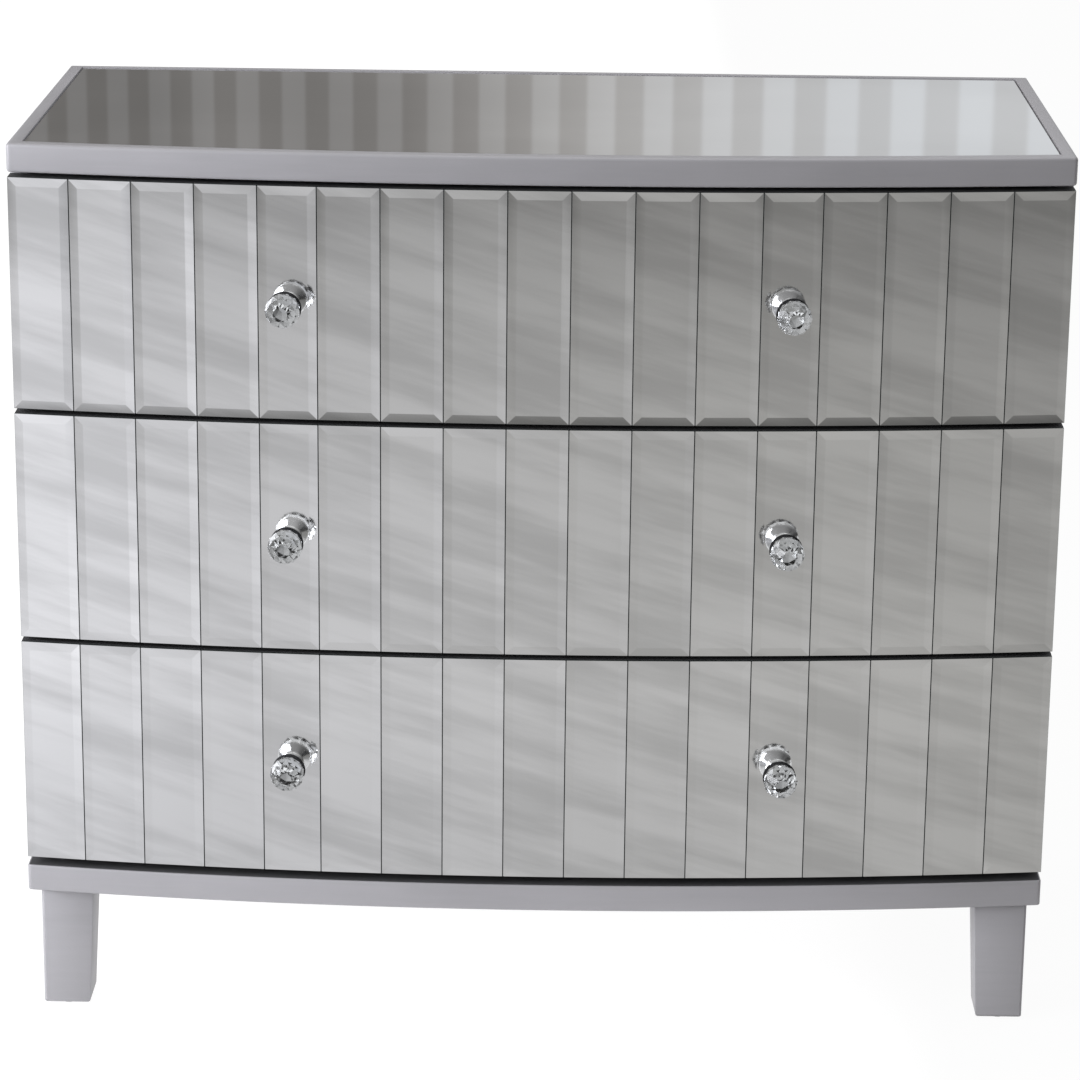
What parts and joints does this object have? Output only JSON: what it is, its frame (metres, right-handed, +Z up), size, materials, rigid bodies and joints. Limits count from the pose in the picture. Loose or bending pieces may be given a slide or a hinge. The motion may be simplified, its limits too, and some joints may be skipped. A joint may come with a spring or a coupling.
{
  "type": "chest of drawers",
  "caption": "Bow-front chest of drawers faced with bevelled mirror strips, with crystal knobs, a mirror-topped silver carcass and tapered legs.",
  "frame": {"origin": "on the floor, in the middle of the outer box of the chest with its knobs", "axes": "+X to the right across the front, +Y from the front to the back, +Z up"},
  "size_m": [1.004, 0.52, 0.8755],
  "materials": {
    "silver_paint": "satin silver paint on board",
    "dark_board": "charcoal stain",
    "mirror": "bevelled silvered glass",
    "drawer_board": "clear-lacquered board",
    "runner_steel": "zinc-plated",
    "screw_steel": "zinc-plated",
    "chrome": "polished",
    "crystal": "polished cut crystal",
    "glide_plastic": "moulded"
  },
  "bodies": {
    "carcass": {"top_panel": "silver_paint", "top_mirror": "mirror", "side_panel_left": "silver_paint", "side_panel_right": "silver_paint", "base_panel": "silver_paint", "back_panel": "silver_paint", "divider_rail_upper": "dark_board", "divider_rail_lower": "dark_board", "leg_front_left": "silver_paint", "leg_front_right": "silver_paint", "leg_back_left": "silver_paint", "leg_back_right": "silver_paint", "leg_glides": "glide_plastic", "leg_bolts": "screw_steel", "cabinet_runners_upper": "runner_steel", "cabinet_runners_middle": "runner_steel", "cabinet_runners_lower": "runner_steel"},
    "drawer_upper": {"front_panel_upper": "dark_board", "mirror_strips_upper": "mirror", "drawer_side_left_upper": "drawer_board", "drawer_side_right_upper": "drawer_board", "drawer_back_upper": "drawer_board", "drawer_bottom_upper": "drawer_board", "knob_crystals_upper": "crystal", "knob_mounts_upper": "chrome", "knob_screws_upper": "screw_steel", "drawer_runners_upper": "runner_steel"},
    "ball_cages_upper": {"ball_cages_upper": "runner_steel"},
    "drawer_middle": {"front_panel_middle": "dark_board", "mirror_strips_middle": "mirror", "drawer_side_left_middle": "drawer_board", "drawer_side_right_middle": "drawer_board", "drawer_back_middle": "drawer_board", "drawer_bottom_middle": "drawer_board", "knob_crystals_middle": "crystal", "knob_mounts_middle": "chrome", "knob_screws_middle": "screw_steel", "drawer_runners_middle": "runner_steel"},
    "ball_cages_middle": {"ball_cages_middle": "runner_steel"},
    "drawer_lower": {"front_panel_lower": "dark_board", "mirror_strips_lower": "mirror", "drawer_side_left_lower": "drawer_board", "drawer_side_right_lower": "drawer_board", "drawer_back_lower": "drawer_board", "drawer_bottom_lower": "drawer_board", "knob_crystals_lower": "crystal", "knob_mounts_lower": "chrome", "knob_screws_lower": "screw_steel", "drawer_runners_lower": "runner_steel"},
    "ball_cages_lower": {"ball_cages_lower": "runner_steel"}
  },
  "joints": [
    {"name": "drawer_upper_slide", "type": "slide", "parent": "carcass", "child": "drawer_upper", "axis": [0, -1, 0], "range_m": [0, 0.3]},
    {"name": "ball_cages_upper_slide", "type": "slide", "parent": "carcass", "child": "ball_cages_upper", "axis": [0, -1, 0], "range_m": [0, 0.15]},
    {"name": "drawer_middle_slide", "type": "slide", "parent": "carcass", "child": "drawer_middle", "axis": [0, -1, 0], "range_m": [0, 0.3]},
    {"name": "ball_cages_middle_slide", "type": "slide", "parent": "carcass", "child": "ball_cages_middle", "axis": [0, -1, 0], "range_m": [0, 0.15]},
    {"name": "drawer_lower_slide", "type": "slide", "parent": "carcass", "child": "drawer_lower", "axis": [0, -1, 0], "range_m": [0, 0.3]},
    {"name": "ball_cages_lower_slide", "type": "slide", "parent": "carcass", "child": "ball_cages_lower", "axis": [0, -1, 0], "range_m": [0, 0.15]}
  ],
  "couplings": [
    {"joint": "ball_cages_upper_slide", "follows": "drawer_upper_slide", "ratio": 0.5},
    {"joint": "ball_cages_middle_slide", "follows": "drawer_middle_slide", "ratio": 0.5},
    {"joint": "ball_cages_lower_slide", "follows": "drawer_lower_slide", "ratio": 0.5}
  ]
}
